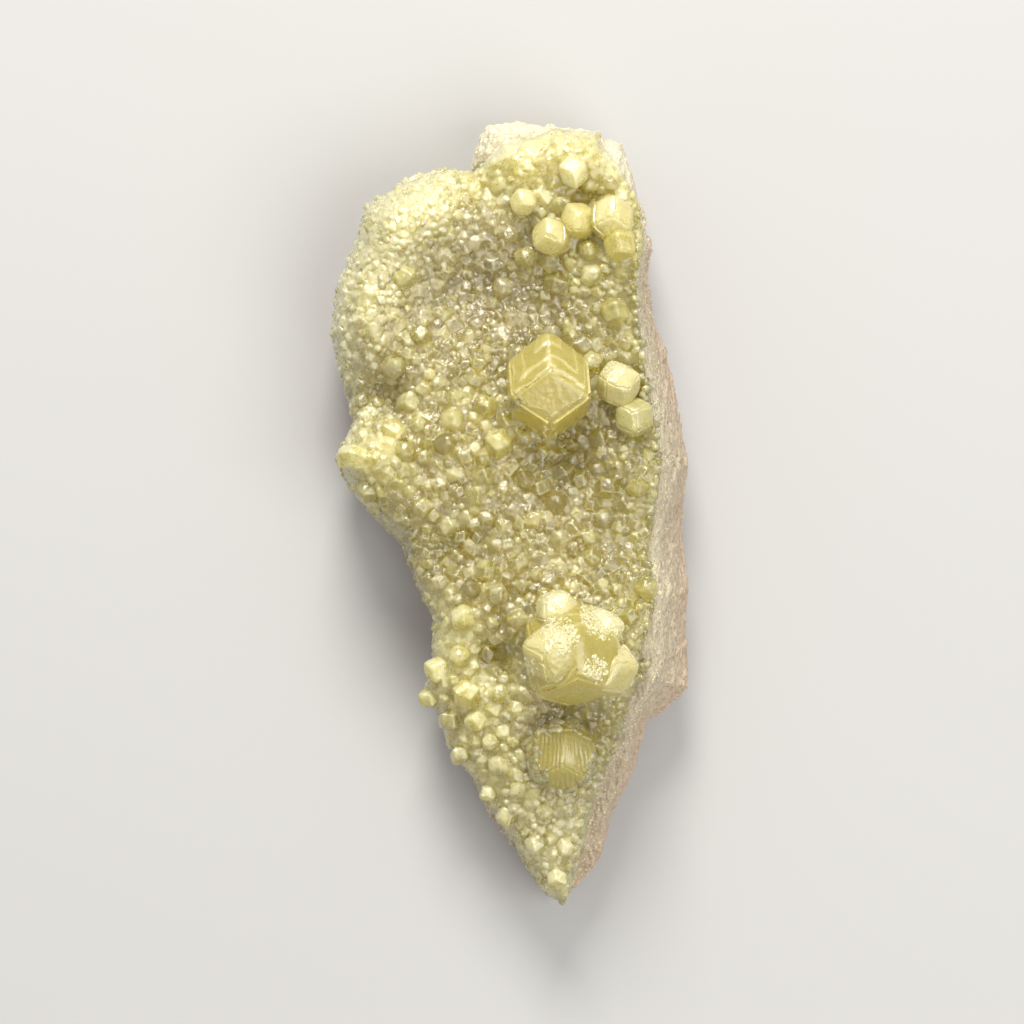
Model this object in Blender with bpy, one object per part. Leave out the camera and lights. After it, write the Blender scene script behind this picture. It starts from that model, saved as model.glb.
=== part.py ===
"""A grossular and calcite specimen, lying on its back on a flat saw cut.

The rock is a thick plate of calcite that narrows to a point. A druse of small grossular crystals
covers its upper side, and larger grossular crystals sit in the druse. +Z is up, away from the
saw cut, and +Y runs from the point of the plate to its broad end. The origin is the middle of
the rock's box, on the cut. The places below are measured from a point close to it. Lengths are in
millimetres until the meshes are made, and metres after that.
"""

import itertools
import math
import random

import bmesh
import bpy
import numpy as np
from mathutils import Euler, Matrix, Vector

MM = 0.001
SEED = 4107

# Sizes of the plate
PLATE_TOP = 20.5        # height of the druse over the broad end
POINT_SLOPE = 0.14      # how fast the druse falls towards the point, below the bend
POINT_BEND = -16.0      # y where that fall begins
SHOULDER = 6.5          # width of the rounded shoulder along the edge
CRUST = 2.4             # thickness of the druse
SKIRT = 4.5             # how far the druse reaches down the side where no matrix shows
WRAP = 3.0              # width of the strip along the edge where it turns down
EDGE_BLEND = 0.3        # how softly the edge's heights pass into each other
BARE_FROM, BARE_OVER = 0.6, 1.2  # where the matrix shows: least width of its wall, and the change
GAP = 0.3               # clearance between one piece and the next
POCKET = 0.45           # how much wider than its crystal a pocket is, along the crystal's radius
CRUST_FOOT = 2.0        # height below the druse, where its block starts
HEADROOM = 44.0         # height above everything, where blocks end
CUTTER_TOP = 48.0       # height where cutters end
BLOCK_X, BLOCK_Y = 32.0, 62.0  # half the width and length of the blocks that cut the surfaces
FLOOR_CELL = 5.0        # facets of the surface where druse and matrix meet
CRUST_CELL = 5.0        # facets of the druse's surface between its crystals

# Heights of the rings of the matrix's side, and how far each lies inside the outline. The second
# number is a length, and the third a share of the wall that shows beside the druse.
RINGS = (
    (0.0, 4.2, 0.0),
    (3.5, 2.0, 0.0),
    (8.0, 0.3, 0.0),
    (13.0, 0.5, 0.30),
    (18.0, 0.5, 0.75),
    (23.0, 0.5, 1.0),
    (HEADROOM, 0.5, 1.0),
)

# The outline seen from above, clockwise: x, y, the width of bare matrix beside the druse, and
# the height at which the druse ends there.
OUTLINE = (
    (-5.7, 47.5, 0.8, 15.0), (-5.5, 50.1, 3.2, 17.0), (-3.6, 54.2, 4.2, 17.5), (0.8, 54.6, 3.6, 17.5),
    (6.3, 54.0, 1.2, 17.0), (12.3, 53.2, 1.0, 17.0), (13.1, 51.9, 1.4, 18.0), (15.8, 51.7, 3.2, 18.5),
    (16.8, 48.0, 2.0, 20.0), (18.3, 42.5, 0.9, 20.5), (19.8, 37.2, 1.8, 21.5), (19.3, 32.0, 2.2, 22.0),
    (20.3, 26.8, 3.0, 22.0), (22.8, 18.9, 4.6, 22.0), (23.9, 12.7, 4.2, 21.5), (25.1, 6.4, 4.6, 21.5),
    (24.3, 0.8, 4.6, 21.0), (24.6, -5.5, 6.0, 20.5), (24.9, -11.3, 5.0, 20.5), (24.8, -18.0, 6.6, 20.0),
    (25.0, -24.4, 8.0, 19.0), (23.4, -26.4, 7.4, 18.5), (18.9, -29.9, 3.8, 18.0), (18.0, -34.8, 4.2, 17.0),
    (16.5, -38.3, 4.2, 16.0), (14.2, -42.6, 3.4, 14.5), (12.9, -48.0, 3.2, 12.5), (10.8, -50.6, 2.0, 11.0),
    (8.8, -53.9, 0.9, 9.5), (7.1, -55.0, 0.5, 9.0), (4.6, -53.8, 0.6, 9.5), (2.0, -50.9, 0.9, 10.5),
    (-0.4, -47.0, 1.2, 11.5), (-4.4, -41.4, 1.2, 12.0), (-5.7, -37.6, 0.7, 12.5), (-9.0, -33.0, 0.4, 13.0),
    (-10.6, -27.6, 0.4, 13.5), (-12.6, -25.6, 0.4, 13.0), (-11.4, -22.4, 0.4, 14.0),
    (-11.1, -15.0, 0.4, 14.0), (-13.3, -10.6, 0.4, 13.5), (-15.4, -4.9, 0.5, 13.5),
    (-18.6, -2.3, 0.8, 13.0), (-23.3, 3.9, 0.4, 13.0), (-24.8, 7.4, 0.4, 13.5), (-22.2, 12.2, 0.4, 14.0),
    (-23.4, 17.0, 0.4, 13.0), (-25.3, 24.8, 0.4, 12.5), (-24.4, 31.7, 0.4, 13.0), (-22.6, 35.0, 0.4, 13.5),
    (-20.4, 42.2, 0.4, 13.0), (-15.2, 45.8, 0.4, 13.5), (-9.6, 48.0, 0.5, 14.0), (-7.6, 47.6, 0.5, 14.5),
)

# Swellings and hollows of the druse: x, y, radius and height.
LUMPS = (
    (-14.7, 39.7, 8.5, 3.6), (-0.2, 51.0, 5.5, 2.2), (10.9, 49.0, 6.5, 3.4), (-4.3, 44.8, 3.2, -2.2),
    (10.0, 43.4, 3.4, -2.4), (-5.7, 30.7, 7.5, -3.6), (4.0, 27.5, 5.5, -1.8), (16.2, 35.5, 5.5, 1.8),
    (-21.0, 27.5, 5.5, 2.2), (-17.8, 15.6, 3.4, -3.6), (-20.0, 6.4, 5.0, 2.4), (-8.5, 9.5, 6.0, 1.2),
    (8.5, 9.0, 4.5, -2.2), (-8.2, -6.6, 4.5, -2.4), (18.0, 5.0, 5.0, 1.2), (8.2, -20.4, 8.0, 3.2),
    (-2.6, -21.0, 3.0, -2.4), (-9.0, -22.0, 4.5, 1.4), (9.0, -29.4, 3.6, -1.8), (-4.5, -10.8, 4.0, 1.0),
)

# Crystals of the druse that stand out by themselves: x, y and radius.
STANDING_OUT = (
    (8.6, 46.6, 2.9), (2.0, 35.0, 1.9), (10.6, 35.8, 2.2), (6.3, 31.5, 2.4), (11.1, 32.4, 2.1),
    (14.2, 27.6, 2.4), (5.6, 24.4, 1.9), (-14.6, 32.1, 2.0), (-12.4, 24.3, 1.7), (-16.3, 19.9, 2.4),
    (-3.6, 14.5, 2.3), (-9.1, 9.3, 2.2), (-1.6, 9.3, 2.6), (-14.5, 8.2, 1.9), (-21.6, 7.4, 2.6),
    (-19.8, 2.9, 2.4), (9.5, 4.3, 1.8), (6.2, 1.2, 2.3), (2.0, 4.2, 1.9), (-3.4, -0.9, 1.8),
    (13.2, 3.4, 2.2), (17.4, 3.2, 2.3), (12.7, -0.9, 1.9), (11.1, -6.3, 1.8), (-7.0, -3.6, 1.5),
    (18.6, -10.6, 2.5), (16.4, -14.4, 1.5), (-3.6, -8.1, 1.8), (-5.6, -10.8, 1.9), (-1.8, -11.5, 1.9),
    (-9.9, -9.7, 1.6), (-6.7, -14.7, 2.3), (-2.6, -15.5, 1.5), (-7.1, -20.0, 2.5), (-10.1, -22.0, 2.3),
    (-3.2, -19.6, 1.8), (-1.8, -25.2, 2.0), (-6.3, -25.1, 2.5), (-11.4, -25.8, 2.0), (-8.5, -28.8, 2.1),
    (-5.0, -28.9, 2.1), (-3.0, -31.9, 1.6), (-7.0, -33.7, 1.8), (-1.8, -35.2, 2.4), (0.8, -38.6, 1.6),
    (-3.2, -39.0, 1.6), (-0.6, -42.2, 1.8), (4.6, -41.6, 1.8), (3.4, -46.2, 1.9), (7.4, -46.6, 1.8),
    (6.4, -51.0, 2.0),
)

# Large crystals, each a node. One crystal is x, y, radius, rise of its middle above the druse,
# and its turn about X, Y and Z in degrees. Those of one node have grown into each other.
LARGE = {
    "crystal_centre": (((5.1, 17.0, 7.2, 2.1), (17, 3, 2)),),
    "crystals_upper_right": (
        ((5.5, 37.7, 3.2, 1.0), (30, -14, 8)),
        ((9.1, 39.9, 3.0, 1.2), (22, 18, 40)),
        ((13.7, 40.2, 3.8, 1.0), (34, 8, -6)),
        ((14.9, 36.6, 2.7, 1.4), (58, -10, 10)),
    ),
    "crystal_upper_middle": (((1.7, 42.5, 2.3, 0.9), (38, -10, 20)),),
    "crystals_right": (
        ((14.7, 17.4, 3.6, 1.5), (-12, 20, 14)),
        ((16.9, 12.9, 3.3, 0.7), (28, 10, 60)),
    ),
    "crystals_lower": (
        ((8.4, -19.6, 8.3, 1.6), (62, 4, 4)),
        ((5.7, -19.3, 4.8, 6.0), (20, -12, 70)),
        ((13.2, -21.6, 4.6, 3.6), (34, 22, 30)),
        ((6.3, -13.8, 3.6, 3.8), (-16, 10, 50)),
        ((12.6, -16.2, 3.2, 3.2), (10, 30, 20)),
    ),
    "crystal_half_buried": (((6.9, -33.4, 6.2, -0.2), (55, 4, -4)),),
}

FILLERS = 84            # small crystals between those that stand out
FILLER_RADIUS = (1.5, 2.4)
RIM_CRYSTALS = 30       # crystals on the edge of the druse, where it turns down
RIM_RADIUS = (1.4, 2.2)
RIM_WIDTH = 1.5         # the edge has rim crystals where its wall is narrower than this
RIM_INSET = (0.75, 1.0)
SPAN_X, SPAN_Y = (-26.0, 24.0), (-54.0, 54.0)  # where fillers are tried

# How far a crystal's middle lies under the surface, as a share of its radius, and how near two
# may come, as a share of both radii: for those that stand out, for the rim's and for fillers.
SINK = ((0.0, 0.2), (-0.2, 1.2), (0.1, 0.4))
CROWDING = (0.35, 0.55, 0.62)
CLEAR_OF_LARGE = 0.35   # a large crystal keeps the small ones off it by this share of their radius

# Growth terraces on the upper faces of the two largest crystals: the ledge round the raised plate,
# the width of the riser and its height, as shares of the crystal's radius.
TERRACED = ("crystal_centre_0", "crystals_lower_0")
LEDGE, RISER, RISE = 0.13, 0.03, 0.07
LOOKS_UP = 0.25         # least upward part of such a face's direction

FACE_DISTANCE = 0.75    # from a crystal's middle to its faces, as a share of its radius

# The point of the plate, and how fast there is room for the side to lean in as it widens from it.
POINT_Y, POINT_ROOM, LEAST_LEAN = -55.0, 14.0, 0.3


def smooth(t):
    t = np.clip(t, 0.0, 1.0)
    return t * t * (3.0 - 2.0 * t)


def outline_moved_in(distance):
    """The outline with each point moved inwards by distance(point), in millimetres."""
    points = [Vector(p[:2]) for p in OUTLINE]
    moved = []
    for i, point in enumerate(points):
        along = points[(i + 1) % len(points)] - points[i - 1]
        inward = Vector((along.y, -along.x)).normalized()
        moved.append(point + inward * distance(OUTLINE[i]))
    return moved


def wall_width(point):
    return point[2]


def side_lean(length, share):
    """How far the matrix's side lies inside the outline, with less lean where the plate is narrow."""

    def lean(point):
        room = min(1.0, LEAST_LEAN + (point[1] - POINT_Y) / POINT_ROOM)
        return length * room + share * point[2]

    return lean


def inside(xy, ring):
    """Whether each point is inside the ring, by counting crossings."""
    x, y = xy[:, :1], xy[:, 1:]
    x0, y0 = ring[:, 0], ring[:, 1]
    x1, y1 = np.roll(x0, -1), np.roll(y0, -1)
    spans = (y0 > y) != (y1 > y)
    rise = np.where(y1 == y0, 1e-9, y1 - y0)
    crossing = x0 + (y - y0) * (x1 - x0) / rise
    return (spans & (x < crossing)).sum(1) % 2 == 1


def edge_facts(xy):
    """At each point: distance to the druse's edge, that edge's height, wall width, and if inside."""
    ring = np.array([tuple(p) for p in outline_moved_in(wall_width)])
    facts = np.array([p[2:] for p in OUTLINE])
    along = np.roll(ring, -1, 0) - ring
    gone = xy[:, None, :] - ring[None]
    t = np.clip((gone * along).sum(2) / (along * along).sum(1), 0, 1)
    away = np.linalg.norm(gone - t[..., None] * along, axis=2)
    weight = 1.0 / (away**2 + EDGE_BLEND) ** 2
    weight /= weight.sum(1, keepdims=True)
    mixed = facts[None] * (1 - t[..., None]) + np.roll(facts, -1, 0)[None] * t[..., None]
    wall, height = (mixed * weight[..., None]).sum(1).T
    return away.min(1), height, wall, inside(xy, ring)


def druse_height(xy):
    """Height of the druse's surface, before its crystals, at an array of points."""
    xy = np.asarray(xy, float).reshape(-1, 2)
    distance, edge, _, within = edge_facts(xy)
    y = xy[:, 1]
    plateau = PLATE_TOP - POINT_SLOPE * np.maximum(POINT_BEND - y, 0.0)
    for lump_x, lump_y, radius, height in LUMPS:
        gone = (xy[:, 0] - lump_x) ** 2 + (y - lump_y) ** 2
        plateau = plateau + height * np.exp(-gone / radius**2)
    depth = np.where(within, distance, 0.0)
    share = np.sqrt(np.clip(1 - (1 - np.clip(depth / SHOULDER, 0, 1)) ** 2, 0, 1))
    return edge + (plateau - edge) * share


def floor_height(xy):
    """Height of the druse's underside: it dips at the edges where the druse wraps over them."""
    xy = np.asarray(xy, float).reshape(-1, 2)
    distance, _, wall, within = edge_facts(xy)
    near = np.where(within, 1 - smooth(distance / WRAP), 1.0)
    bare = smooth((wall - BARE_FROM) / BARE_OVER)
    return druse_height(xy) - CRUST - SKIRT * near * (1 - bare)


def underside_height(xy):
    return floor_height(xy) + GAP


def link(name, mesh, collection):
    obj = bpy.data.objects.new(name, mesh)
    collection.objects.link(obj)
    return obj


def helper(name, mesh, collection):
    """An object that only cuts or joins others."""
    obj = link(name, mesh, collection)
    obj.hide_render = True
    obj.display_type = "WIRE"
    return obj


def mesh_of(bm, name):
    """A mesh in metres from a bmesh in millimetres."""
    bmesh.ops.scale(bm, vec=(MM, MM, MM), verts=bm.verts)
    mesh = bpy.data.meshes.new(name)
    bm.to_mesh(mesh)
    bm.free()
    return mesh


def loft(rings, name):
    """A closed body through rings of equal length, each a height and a list of points."""
    bm = bmesh.new()
    rows = [[bm.verts.new((p.x, p.y, z)) for p in points] for z, points in rings]
    for low, high in zip(rows, rows[1:]):
        for i in range(len(low)):
            j = (i + 1) % len(low)
            bm.faces.new((low[i], high[i], high[j], low[j]))
    bm.faces.new(rows[0])
    bm.faces.new(rows[-1][::-1])
    bmesh.ops.recalc_face_normals(bm, faces=bm.faces)
    bmesh.ops.triangulate(bm, faces=bm.faces)
    return mesh_of(bm, name)


def block_from_surface(height, far, cell, name):
    """A closed block between a surface z = height(points) and the plane z = far."""
    bm = bmesh.new()
    bmesh.ops.create_grid(
        bm,
        x_segments=round(2 * BLOCK_X / cell),
        y_segments=round(2 * BLOCK_Y / cell),
        size=1.0,
        matrix=Matrix.Diagonal((BLOCK_X, BLOCK_Y, 1.0, 1.0)),
    )
    surface = list(bm.verts)
    heights = height(np.array([v.co[:2] for v in surface]))
    skin = bmesh.ops.extrude_face_region(bm, geom=bm.faces[:])
    for vert in (g for g in skin["geom"] if isinstance(g, bmesh.types.BMVert)):
        vert.co.z = far
    for vert, z in zip(surface, heights):
        vert.co.z = z
    bmesh.ops.recalc_face_normals(bm, faces=bm.faces)
    bmesh.ops.triangulate(bm, faces=bm.faces, quad_method="FIXED")
    return mesh_of(bm, name)


def rhombic_normals():
    """Directions of the twelve faces: each pair of axes, with every sign."""
    pairs = ((0, 1), (1, 2), (2, 0))
    signs = itertools.product((1, -1), repeat=2)
    normals = []
    for (a, b), (sign_a, sign_b) in itertools.product(pairs, list(signs)):
        normal = Vector((0, 0, 0))
        normal[a] = sign_a
        normal[b] = sign_b
        normals.append(normal.normalized())
    return normals


def garnet_form():
    """A crystal of radius 1 with twelve rhombic faces.

    One face looks along +Z, with its long diagonal along X.
    """
    bm = bmesh.new()
    bmesh.ops.create_cube(bm, size=3.0)
    for normal in rhombic_normals():
        cut = bmesh.ops.bisect_plane(
            bm,
            geom=bm.verts[:] + bm.edges[:] + bm.faces[:],
            dist=1e-5,
            plane_co=normal * FACE_DISTANCE,
            plane_no=normal,
            clear_outer=True,
        )
        edges = [g for g in cut["geom_cut"] if isinstance(g, bmesh.types.BMEdge)]
        bmesh.ops.edgeloop_fill(bm, edges=edges)
    for degrees, axis in ((-45, "Z"), (-90, "Y"), (90, "Z")):
        turn = Matrix.Rotation(math.radians(degrees), 3, axis)
        bmesh.ops.rotate(bm, verts=bm.verts, matrix=turn)
    bmesh.ops.recalc_face_normals(bm, faces=bm.faces)
    return bm


def add_crystal(target, form, centre, radius, turn):
    """Adds a copy of a crystal form to the bmesh target."""
    matrix = Matrix.LocRotScale(Vector(centre), turn, Vector((radius,) * 3))
    copied = {}
    for vert in form.verts:
        copied[vert] = target.verts.new(matrix @ vert.co)
    for face in form.faces:
        target.faces.new([copied[vert] for vert in face.verts])


def raise_terraces(bm, radius):
    """Raises a plate on each large face that looks up."""
    bm.normal_update()
    widest = max(face.calc_area() for face in bm.faces)
    plates = [f for f in bm.faces if f.normal.z > LOOKS_UP and f.calc_area() > 0.5 * widest]
    bmesh.ops.inset_individual(bm, faces=plates, thickness=LEDGE * radius)
    bmesh.ops.inset_individual(bm, faces=plates, thickness=RISER * radius, depth=RISE * radius)


def random_turn(rng):
    return Euler([rng.uniform(0, math.tau) for _ in range(3)]).to_quaternion()


def large_places():
    """Every large crystal as centre and radius."""
    found = []
    for crystals in LARGE.values():
        for (x, y, radius, rise), _ in crystals:
            found.append((Vector((x, y, druse_height((x, y))[0] + rise)), radius))
    return found


def druse_places():
    """Centre and radius of each small crystal: those that stand out, the rim's, and fillers."""
    rng = random.Random(SEED)
    large = large_places()
    placed = []

    def place(x, y, radius, kind):
        """Adds the crystal unless it is too near another one."""
        sink = rng.uniform(*SINK[kind])
        centre = Vector((x, y, druse_height((x, y))[0] - sink * radius))
        for other, other_radius in placed:
            if (centre - other).length < CROWDING[kind] * (radius + other_radius):
                return
        for other, other_radius in large:
            if (centre - other).length < other_radius + CLEAR_OF_LARGE * radius:
                return
        placed.append((centre, radius))

    for x, y, radius in STANDING_OUT:
        place(x, y, radius, 0)

    ring = outline_moved_in(wall_width)
    rim = [i for i, point in enumerate(OUTLINE) if wall_width(point) < RIM_WIDTH]
    wanted = len(placed) + RIM_CRYSTALS
    for _ in range(RIM_CRYSTALS * 6):
        i = rng.choice(rim)
        radius = rng.uniform(*RIM_RADIUS)
        point = ring[i].lerp(ring[(i + 1) % len(ring)], rng.random())
        point = point - point.normalized() * radius * rng.uniform(*RIM_INSET)
        if len(placed) < wanted:
            place(point.x, point.y, radius, 1)

    wanted = len(placed) + FILLERS
    for _ in range(FILLERS * 30):
        x, y = rng.uniform(*SPAN_X), rng.uniform(*SPAN_Y)
        radius = rng.uniform(*FILLER_RADIUS)
        distance, _, _, within = edge_facts(np.array([[x, y]]))
        if within[0] and distance[0] > radius and len(placed) < wanted:
            place(x, y, radius, 2)
    return placed


def boolean(obj, operation, other, solver="EXACT", self_crossing=False):
    modifier = obj.modifiers.new(f"{operation.lower()} {other.name}", "BOOLEAN")
    modifier.operation = operation
    modifier.object = other
    modifier.solver = solver
    modifier.use_self = self_crossing


def grown_together(name, crystals, extra, cutters):
    """Large crystals joined in one object. extra widens each, for a pocket around them."""
    joined = None
    for number, ((x, y, radius, rise), degrees) in enumerate(crystals):
        turn = Euler([math.radians(d) for d in degrees]).to_quaternion()
        centre = (x, y, druse_height((x, y))[0] + rise)
        bm = bmesh.new()
        add_crystal(bm, garnet_form(), centre, radius + extra, turn)
        if extra == 0 and f"{name}_{number}" in TERRACED:
            raise_terraces(bm, radius)
        obj = helper(f"{name}_{number}", mesh_of(bm, name), cutters)
        if joined:
            boolean(joined, "UNION", obj)
        joined = joined or obj
    return joined


def build_matrix(parts, cutters):
    rings = [(z, outline_moved_in(side_lean(length, share))) for z, length, share in RINGS]
    matrix = link("calcite_matrix", loft(rings, "matrix"), parts)
    above = block_from_surface(floor_height, CUTTER_TOP, FLOOR_CELL, "above the matrix")
    boolean(matrix, "DIFFERENCE", helper("above_matrix", above, cutters), "MANIFOLD")
    return matrix


def build_druse(parts, cutters):
    edge = outline_moved_in(wall_width)
    rings = [(CRUST_FOOT, edge), (HEADROOM, edge)]
    crust = link("grossular_druse", loft(rings, "druse"), parts)
    sky = block_from_surface(druse_height, CUTTER_TOP, CRUST_CELL, "above the druse")
    boolean(crust, "DIFFERENCE", helper("above_druse", sky, cutters))
    form = garnet_form()
    rng = random.Random(SEED + 1)
    small = bmesh.new()
    for centre, radius in druse_places():
        add_crystal(small, form, centre, radius, random_turn(rng))
    crystals = helper("small_crystals", mesh_of(small, "small crystals"), cutters)
    boolean(crust, "UNION", crystals, self_crossing=True)
    under = block_from_surface(underside_height, -HEADROOM, FLOOR_CELL, "under the druse")
    boolean(crust, "DIFFERENCE", helper("under_druse", under, cutters))
    return crust


def islands_of(bm):
    """The vertices of each separate body."""
    found, seen = [], set()
    for start in bm.verts:
        if start in seen:
            continue
        seen.add(start)
        island, front = [], [start]
        while front:
            here = front.pop()
            island.append(here)
            near = [edge.other_vert(here) for edge in here.link_edges]
            new = [vert for vert in near if vert not in seen]
            seen.update(new)
            front.extend(new)
        found.append(island)
    return found


def settle(obj):
    """Applies the modifiers, and drops crumbs that a cut has left loose."""
    graph = bpy.context.evaluated_depsgraph_get()
    mesh = bpy.data.meshes.new_from_object(obj.evaluated_get(graph))
    obj.modifiers.clear()
    bm = bmesh.new()
    bm.from_mesh(mesh)
    islands = islands_of(bm)
    largest = max(islands, key=len)
    for island in islands:
        if island is not largest:
            bmesh.ops.delete(bm, geom=island, context="VERTS")
    bm.to_mesh(mesh)
    bm.free()
    obj.data = mesh


def centre_on_cut(objects):
    """Moves the meshes so that the origin is the middle of their box, on the saw cut."""
    points = np.array([v.co[:] for obj in objects for v in obj.data.vertices])
    low, high = points.min(0), points.max(0)
    shift = Matrix.Translation((-(low[0] + high[0]) / 2, -(low[1] + high[1]) / 2, -low[2]))
    for obj in objects:
        obj.data.transform(shift)


def material(name, colour, roughness, transmission):
    made = bpy.data.materials.new(name)
    made.use_nodes = True
    shader = made.node_tree.nodes["Principled BSDF"]
    shader.inputs["Base Color"].default_value = (*colour, 1.0)
    shader.inputs["Roughness"].default_value = roughness
    shader.inputs["Metallic"].default_value = 0.0
    shader.inputs["Transmission Weight"].default_value = transmission
    made.diffuse_color = (*colour, 1.0)
    return made


def main():
    for obj in list(bpy.data.objects):
        bpy.data.objects.remove(obj)
    parts = bpy.data.collections.new("grossular_calcite_specimen")
    cutters = bpy.data.collections.new("cutters")
    bpy.context.scene.collection.children.link(parts)
    bpy.context.scene.collection.children.link(cutters)

    matrix = build_matrix(parts, cutters)
    druse = build_druse(parts, cutters)
    large = []
    for name, crystals in LARGE.items():
        pocket = grown_together(f"pocket_{name}", crystals, POCKET, cutters)
        boolean(matrix, "DIFFERENCE", pocket, "MANIFOLD")
        boolean(druse, "DIFFERENCE", pocket)
        joined = grown_together(name, crystals, 0, cutters)
        settle(joined)
        large.append(link(name, joined.data, parts))
    for obj in [matrix, druse]:
        settle(obj)
    centre_on_cut([matrix, druse, *large])

    calcite = material("calcite", (0.80, 0.72, 0.60), 0.7, 0.0)
    grossular = material("grossular", (0.74, 0.66, 0.28), 0.2, 0.4)
    matrix.data.materials.append(calcite)
    for obj in [druse, *large]:
        obj.data.materials.append(grossular)


main()
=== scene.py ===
"""The looks of a grossular and calcite specimen, lying on a pale floor and seen from above.

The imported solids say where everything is. This script lays fine crystals over the druse, gives the
large crystals their growth terraces and the calcite its grain, and sets materials, light and camera.
Places and sizes are in millimetres, measured as in the solids' own source, until a piece is made.
"""

import itertools
import math
import random

import bmesh
import bpy
import numpy as np
from mathutils import Euler, Matrix, Vector, noise


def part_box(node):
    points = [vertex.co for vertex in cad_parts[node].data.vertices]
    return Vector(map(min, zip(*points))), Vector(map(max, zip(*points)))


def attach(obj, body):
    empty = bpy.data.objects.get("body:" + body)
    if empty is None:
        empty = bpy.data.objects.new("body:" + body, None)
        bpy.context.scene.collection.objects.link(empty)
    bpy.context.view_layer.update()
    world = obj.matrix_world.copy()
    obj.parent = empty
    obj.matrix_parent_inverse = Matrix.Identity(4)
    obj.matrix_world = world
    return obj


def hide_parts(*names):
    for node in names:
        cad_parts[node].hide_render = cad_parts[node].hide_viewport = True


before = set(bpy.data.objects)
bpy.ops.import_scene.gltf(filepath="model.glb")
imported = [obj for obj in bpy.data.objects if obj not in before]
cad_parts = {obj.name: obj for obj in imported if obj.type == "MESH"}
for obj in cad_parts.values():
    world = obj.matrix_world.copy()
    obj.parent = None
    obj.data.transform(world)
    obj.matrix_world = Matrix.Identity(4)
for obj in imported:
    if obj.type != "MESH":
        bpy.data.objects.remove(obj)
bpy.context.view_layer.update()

MM = 0.001
SEED = 4107

# The plate, with the same values as its solids.
PLATE_TOP = 20.5
POINT_SLOPE = 0.14
POINT_BEND = -16.0
SHOULDER = 6.5
CRUST = 2.4
SKIRT = 4.5
WRAP = 3.0
EDGE_BLEND = 0.3
BARE_FROM, BARE_OVER = 0.6, 1.2
GAP = 0.3
CRUST_FOOT = 2.0
HEADROOM = 44.0
CUTTER_TOP = 48.0
BLOCK_X, BLOCK_Y = 32.0, 62.0
POINT_Y, POINT_ROOM, LEAST_LEAN = -55.0, 14.0, 0.3
FACE_DISTANCE = 0.75

# Height of each ring of the matrix's side, how far it lies inside the outline, and its share of
# the bare wall's width.
RINGS = (
    (0, 4.2, 0), (3.5, 2, 0), (8, 0.3, 0), (13, 0.5, 0.3), (18, 0.5, 0.75), (23, 0.5, 1),
    (HEADROOM, 0.5, 1),
)

# The outline seen from above, clockwise: x, y, the width of bare matrix beside the druse, and
# the height at which the druse ends there.
OUTLINE = (
    (-5.7, 47.5, 0.8, 15), (-5.5, 50.1, 3.2, 17), (-3.6, 54.2, 4.2, 17.5), (0.8, 54.6, 3.6, 17.5),
    (6.3, 54, 1.2, 17), (12.3, 53.2, 1, 17), (13.1, 51.9, 1.4, 18), (15.8, 51.7, 3.2, 18.5),
    (16.8, 48, 2, 20), (18.3, 42.5, 0.9, 20.5), (19.8, 37.2, 1.8, 21.5), (19.3, 32, 2.2, 22),
    (20.3, 26.8, 3, 22), (22.8, 18.9, 4.6, 22), (23.9, 12.7, 4.2, 21.5), (25.1, 6.4, 4.6, 21.5),
    (24.3, 0.8, 4.6, 21), (24.6, -5.5, 6, 20.5), (24.9, -11.3, 5, 20.5), (24.8, -18, 6.6, 20),
    (25, -24.4, 8, 19), (23.4, -26.4, 7.4, 18.5), (18.9, -29.9, 3.8, 18), (18, -34.8, 4.2, 17),
    (16.5, -38.3, 4.2, 16), (14.2, -42.6, 3.4, 14.5), (12.9, -48, 3.2, 12.5), (10.8, -50.6, 2, 11),
    (8.8, -53.9, 0.9, 9.5), (7.1, -55, 0.5, 9), (4.6, -53.8, 0.6, 9.5), (2, -50.9, 0.9, 10.5),
    (-0.4, -47, 1.2, 11.5), (-4.4, -41.4, 1.2, 12), (-5.7, -37.6, 0.7, 12.5), (-9, -33, 0.4, 13),
    (-10.6, -27.6, 0.4, 13.5), (-12.6, -25.6, 0.4, 13), (-11.4, -22.4, 0.4, 14), (-11.1, -15, 0.4, 14),
    (-13.3, -10.6, 0.4, 13.5), (-15.4, -4.9, 0.5, 13.5), (-18.6, -2.3, 0.8, 13), (-23.3, 3.9, 0.4, 13),
    (-24.8, 7.4, 0.4, 13.5), (-22.2, 12.2, 0.4, 14), (-23.4, 17, 0.4, 13), (-25.3, 24.8, 0.4, 12.5),
    (-24.4, 31.7, 0.4, 13), (-22.6, 35, 0.4, 13.5), (-20.4, 42.2, 0.4, 13), (-15.2, 45.8, 0.4, 13.5),
    (-9.6, 48, 0.5, 14), (-7.6, 47.6, 0.5, 14.5),
)

# Swellings and hollows of the druse: x, y, radius and height.
LUMPS = (
    (-14.7, 39.7, 8.5, 3.6), (-0.2, 51, 5.5, 2.2), (10.9, 49, 6.5, 3.4), (-4.3, 44.8, 3.2, -2.2),
    (10, 43.4, 3.4, -2.4), (-5.7, 30.7, 7.5, -3.6), (4, 27.5, 5.5, -1.8), (16.2, 35.5, 5.5, 1.8),
    (-21, 27.5, 5.5, 2.2), (-17.8, 15.6, 3.4, -3.6), (-20, 6.4, 5, 2.4), (-8.5, 9.5, 6, 1.2),
    (8.5, 9, 4.5, -2.2), (-8.2, -6.6, 4.5, -2.4), (18, 5, 5, 1.2), (8.2, -20.4, 8, 3.2),
    (-2.6, -21, 3, -2.4), (-9, -22, 4.5, 1.4), (9, -29.4, 3.6, -1.8), (-4.5, -10.8, 4, 1),
)

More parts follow.
